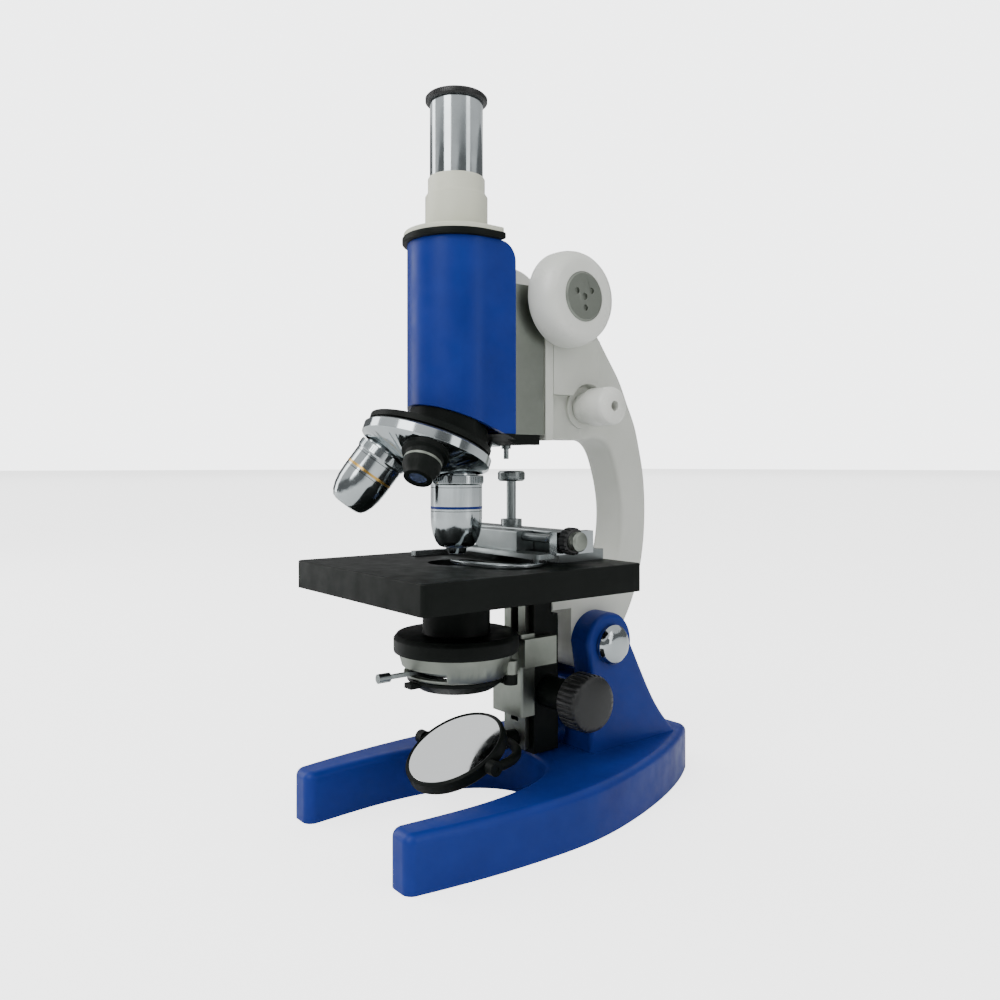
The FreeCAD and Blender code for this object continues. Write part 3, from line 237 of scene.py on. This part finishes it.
def finish_piece(bm, name, body, material, smooth_deg=SOFT_DEG, bevel_mm=0.0):
    """Makes the mesh a piece that rides on a body and takes a material slot's finish."""
    mesh = bpy.data.meshes.new(name)
    bm.to_mesh(mesh)
    bm.free()
    mesh.shade_smooth()
    mesh.set_sharp_from_angle(angle=math.radians(smooth_deg))
    mesh.materials.append(MATERIALS[material])
    piece = bpy.data.objects.new(name, mesh)
    bpy.context.scene.collection.objects.link(piece)
    if bevel_mm:
        bevel = piece.modifiers.new("edge", "BEVEL")
        bevel.width = bevel_mm * MM
        bevel.segments = EDGE_SECTIONS
        bevel.limit_method = "ANGLE"
        bevel.angle_limit = math.radians(smooth_deg)
        bevel.harden_normals = True
        bevel.use_clamp_overlap = True
    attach(piece, body)
    return piece


def dressed(node, bevel_mm, material, smooth_deg=32):
    """The node's own shape with its facets merged, smooth round faces and broken edges."""
    bm = bmesh.new()
    bm.from_mesh(frame["nodes"][node].data)
    bmesh.ops.remove_doubles(bm, verts=bm.verts, dist=WELD)
    bmesh.ops.dissolve_limit(bm, angle_limit=math.radians(FLAT_DEG), verts=bm.verts, edges=bm.edges,
                             delimit={"NORMAL"})
    slot = NODE_SLOT[node]
    piece = finish_piece(bm, node + "_finish", NODE_BODY[node], material or slot, smooth_deg, bevel_mm)
    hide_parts(node)


# Castings have well rounded edges, and sheet and turned pieces only a broken one.  Teeth,
# milled edges, lenses and leaves are too fine for a bevel.
USUAL_EDGE_MM = 0.2
EDGE_MM = {
    "base_casting": 0.6, "limb_casting": 0.5, "focus_block": 0.4,
    "stage_plate": 0.3, "body_shell": 0.3, "limb_screws": 0.1,
}
UNBROKEN = (
    "body_top_plate", "condenser_rack", "body_rack", "coarse_pinion", "condenser_pinion",
    "cross_post", "iris_leaves", "eyepiece_lenses", "objective_lenses", "condenser_lenses",
    "objective_nose_lens", "lateral_knob", "condenser_knob",
)
OWN_FINISH = {"tube_collar": "cream_enamel"}     # pieces that don't take their slot's finish

for node in NODE_SLOT:
    edge_mm = 0.0 if node in UNBROKEN else EDGE_MM.get(node, USUAL_EDGE_MM)
    dressed(node, edge_mm, OWN_FINISH.get(node))


# ------------------------------------------------------------------ turned and engraved details
OPTICAL_Y = (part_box("draw_tube")[0][1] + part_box("draw_tube")[1][1]) / 2
SEAT_Z = 0.168               # seat of the working objective
NOSE_CENTRE = Vector(JOINT["nosepiece_turn"]["pos_m"])
NOSE_AXIS = Vector(JOINT["nosepiece_turn"]["axis"])
RING_STEPS = 96
BAND_SUNK_MM = 0.3           # how deep a band's inner side lies in its barrel


def add_band(bm, radius_mm, low_mm, high_mm, proud_mm):
    """Closed ring about Z that stands proud of a round barrel."""
    inside = (radius_mm - BAND_SUNK_MM) * MM
    outside = (radius_mm + proud_mm) * MM
    low = low_mm * MM
    high = high_mm * MM
    section = [(inside, low), (outside, low), (outside, high), (inside, high)]
    corners = [bm.verts.new((radius, 0, height)) for radius, height in section]
    sides = [bm.edges.new((corners[index - 1], corners[index])) for index in range(len(corners))]
    bmesh.ops.spin(bm, geom=corners + sides, cent=(0, 0, 0), axis=(0, 0, 1), angle=2 * math.pi,
                   steps=RING_STEPS, use_merge=True)


def add_ribs(bm, count, radius_mm, low_mm, high_mm, proud_mm=0.22):
    """Straight knurl: upright ribs all round a turned edge, with gaps as wide as the ribs."""
    width = math.pi * radius_mm / count
    size = Matrix.Diagonal((2 * proud_mm * MM, width * MM, (high_mm - low_mm) * MM, 1))
    out = Matrix.Translation((radius_mm * MM, 0, (low_mm + high_mm) / 2 * MM))
    for index in range(count):
        turn = Matrix.Rotation(2 * math.pi * index / count, 4, "Z")
        bmesh.ops.create_cube(bm, size=1, matrix=turn @ out @ size)


def add_block(bm, low, high):
    """Box between two corners."""
    size = [b - a for a, b in zip(low, high)]
    middle = [(a + b) / 2 for a, b in zip(low, high)]
    bmesh.ops.create_cube(bm, size=1, matrix=Matrix.Translation(middle) @ Matrix.Diagonal((*size, 1)))


def detail(bm, name, body, material, place=None):
    """Finishes a mesh drawn about Z as a piece placed on its body."""
    if place is not None:
        bmesh.ops.transform(bm, matrix=place, verts=bm.verts)
    bmesh.ops.recalc_face_normals(bm, faces=bm.faces)
    return finish_piece(bm, name, body, material)


def objective_place(turn_deg):
    """Puts a mesh drawn about Z, seat at z = 0, where an objective hangs on the nosepiece."""
    hang = Matrix.Translation((0, OPTICAL_Y, SEAT_Z))
    turn = Matrix.Rotation(math.radians(turn_deg), 4, NOSE_AXIS)
    return Matrix.Translation(NOSE_CENTRE) @ turn @ Matrix.Translation(-NOSE_CENTRE) @ hang


FLANGE_RIBS = 72
RIBS_OVER_FOOT_MM = 0.5
RIBS_UNDER_SEAT_MM = 0.6
BAND_WIDE_MM = 1.2
BAND_PROUD_MM = 0.05
LINE_WIDE_MM = 0.25
LINE_PROUD_MM = 0.02         # an engraved line's paint, just clear of the barrel
LINE_UNDER_BAND_MM = 2.4
LINE_UNDER_FLANGE_MM = 2.0


def dress_objective(name, sizes_mm, turn_deg, material, band_material):
    """Milled flange, a colour band for the power and an engraved line under each of them.

    sizes_mm is (flange radius, flange foot, barrel radius, top of the band), with heights
    from the seat."""
    flange, flange_low, barrel, band = sizes_mm
    place = objective_place(turn_deg)
    bm = bmesh.new()
    add_ribs(bm, FLANGE_RIBS, flange, flange_low + RIBS_OVER_FOOT_MM, -RIBS_UNDER_SEAT_MM)
    detail(bm, name + "_knurl", "nosepiece", material, place)
    bm = bmesh.new()
    add_band(bm, barrel, band - BAND_WIDE_MM, band, BAND_PROUD_MM)
    detail(bm, name + "_power_band", "nosepiece", band_material, place)
    bm = bmesh.new()
    for low in (band - LINE_UNDER_BAND_MM, flange_low - LINE_UNDER_FLANGE_MM):
        add_band(bm, barrel, low, low + LINE_WIDE_MM, LINE_PROUD_MM)
    detail(bm, name + "_engraved_lines", "nosepiece", "black_enamel", place)


CARRIAGE_TOP = 0.141         # height of the carriage's upper face
SCALE_HALF_MM = 38
SCALE_INSET_MM = 1.4         # from the carriage's front edge to the foot of the lines
MARK_HALF_MM = 0.09
MARK_SUNK_MM = 0.1


def mark_length_mm(step):
    """Longer lines at each ten and each five millimetres."""
    if step % 10 == 0:
        return 4.2
    return 3.2 if step % 5 == 0 else 2.2


def dress_carriage_scale():
    """Millimetre lines along the front of the mechanical stage's carriage."""
    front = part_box("stage_carriage")[0][1] + SCALE_INSET_MM * MM
    low = CARRIAGE_TOP - MARK_SUNK_MM * MM
    high = CARRIAGE_TOP + LINE_PROUD_MM * MM
    half = MARK_HALF_MM * MM
    bm = bmesh.new()
    for step in range(-SCALE_HALF_MM, SCALE_HALF_MM + 1):
        x = step * MM
        back = front + mark_length_mm(step) * MM
        add_block(bm, (x - half, front, low), (x + half, back, high))
    detail(bm, "carriage_scale", "cross_slide", "black_enamel")


POST_HEAD_LOW = 0.1645       # height of the foot of the milled head
POST_HEAD_R_MM = 7.0


def dress_post_head():
    """Knurl on the milled head of the cross travel's post."""
    post_x, post_y = JOINT["cross_knob_turn"]["pos_m"][:2]
    bm = bmesh.new()
    add_ribs(bm, 48, POST_HEAD_R_MM, low_mm=1.0, high_mm=4.5)
    detail(bm, "post_head_knurl", "cross_drive", "satin_steel",
           Matrix.Translation((post_x, post_y, POST_HEAD_LOW)))


EYE_RIM_R_MM = 15.0


def dress_eyepiece():
    """Fine knurl round the rim of the eyepiece cap."""
    cap_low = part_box("eyepiece_cap")[0][2]
    bm = bmesh.new()
    add_ribs(bm, 90, EYE_RIM_R_MM, low_mm=0.8, high_mm=2.5, proud_mm=0.16)
    detail(bm, "eyepiece_cap_knurl", "eyepiece", "black_plastic",
           Matrix.Translation((0, OPTICAL_Y, cap_low)))


dress_objective("objective_high", (13.1, -4.0, 12.6, -15.0), 0, "chrome", "blue_enamel")
dress_objective("objective_middle", (12.7, -4.0, 12.2, -12.0), 120, "chrome", "brass")
dress_objective("objective_low", (10.8, -2.6, 8.8, -6.0), 240, "black_enamel", "satin_aluminium")
dress_carriage_scale()
dress_post_head()
dress_eyepiece()


# ------------------------------------------------------------------ floor, light and camera
FLOOR_HALF = 30.0            # far enough for the floor's edge to be the horizon
FLOOR_GLOW = 2.4             # lifts the floor towards the paler walls
WALL_GLOW = 4.4
ROOM_GLOW = 0.22
LIT_MIDDLE = Vector((0, 0, 0.17))


def make_floor():
    """A plain pale floor, paler to the camera than the light on it alone would make it."""
    bm = bmesh.new()
    bmesh.ops.create_grid(bm, x_segments=1, y_segments=1, size=FLOOR_HALF)
    mesh = bpy.data.meshes.new("floor")
    bm.to_mesh(mesh)
    bm.free()
    floor = bpy.data.objects.new("floor", mesh)
    bpy.context.scene.collection.objects.link(floor)
    material, shader = new_material("pale_floor")
    shader.inputs["Base Color"].default_value = hex_colour("F4F5F5")
    shader.inputs["Roughness"].default_value = 0.85
    shader.inputs["Specular IOR Level"].default_value = 0.1
    shader.inputs["Emission Color"].default_value = hex_colour("FFFFFF")
    seen = add_node(material, "ShaderNodeLightPath")
    glow = add_node(material, "ShaderNodeMath", {"operation": "MULTIPLY"},
                    {"Value": (seen, "Is Camera Ray")})
    glow.inputs[1].default_value = FLOOR_GLOW
    link(material, glow, "Value", shader, "Emission Strength")
    mesh.materials.append(material)


def add_light(name, place, size, watts):
    """A soft box that faces the middle of the microscope."""
    light = bpy.data.lights.new(name, "AREA")
    light.shape = "RECTANGLE"
    light.size = size[0]
    light.size_y = size[1]
    light.energy = watts
    lamp = bpy.data.objects.new(name, light)
    lamp.location = place
    lamp.rotation_euler = (LIT_MIDDLE - Vector(place)).to_track_quat("-Z", "Y").to_euler()
    bpy.context.scene.collection.objects.link(lamp)


def make_lights():
    """Three soft boxes under a wide ceiling light."""
    add_light("ceiling", (0, 0, 5.0), (24, 24), 1400)
    add_light("key", (0.35, -1.25, 1.25), (0.8, 1.3), 19)
    add_light("side", (1.35, 0.35, 0.6), (0.4, 1.4), 4)
    add_light("left", (-1.2, -0.75, 0.7), (0.5, 1.4), 9)


def make_room():
    """A dim room for the light and reflections, whose walls the camera itself sees as pale."""
    world = bpy.data.worlds.new("studio")
    bpy.context.scene.world = world
    world.use_nodes = True
    tree = world.node_tree
    room = tree.nodes["Background"]
    room.inputs["Color"].default_value = hex_colour("F4F6F8")
    room.inputs["Strength"].default_value = ROOM_GLOW
    walls = tree.nodes.new("ShaderNodeBackground")
    walls.inputs["Color"].default_value = hex_colour("FAFBFC")
    walls.inputs["Strength"].default_value = WALL_GLOW
    path = tree.nodes.new("ShaderNodeLightPath")
    mix = tree.nodes.new("ShaderNodeMixShader")
    tree.links.new(path.outputs["Is Camera Ray"], mix.inputs["Fac"])
    tree.links.new(room.outputs["Background"], mix.inputs[1])
    tree.links.new(walls.outputs["Background"], mix.inputs[2])
    tree.links.new(mix.outputs["Shader"], tree.nodes["World Output"].inputs["Surface"])


SENSOR_MM = 36.0
LENS_MM = 31.7
VIEW_AZIMUTH = 52.0          # degrees from looking along +Y towards looking along -X
CAMERA_PLACE = (0.352, OPTICAL_Y - 0.248, 0.173)
HORIZON_SHIFT = -0.035       # part of the picture's width


def make_camera():
    """A level camera in front of the microscope and to its right."""
    camera = bpy.data.cameras.new("camera")
    camera.sensor_width = SENSOR_MM
    camera.lens = LENS_MM
    camera.shift_y = HORIZON_SHIFT
    camera.clip_start = 0.01
    eye = bpy.data.objects.new("camera", camera)
    azimuth = math.radians(VIEW_AZIMUTH)
    forward = Vector((-math.sin(azimuth), math.cos(azimuth), 0))
    eye.location = CAMERA_PLACE
    eye.rotation_euler = forward.to_track_quat("-Z", "Y").to_euler()
    bpy.context.scene.collection.objects.link(eye)
    bpy.context.scene.camera = eye


make_floor()
make_lights()
make_room()
make_camera()
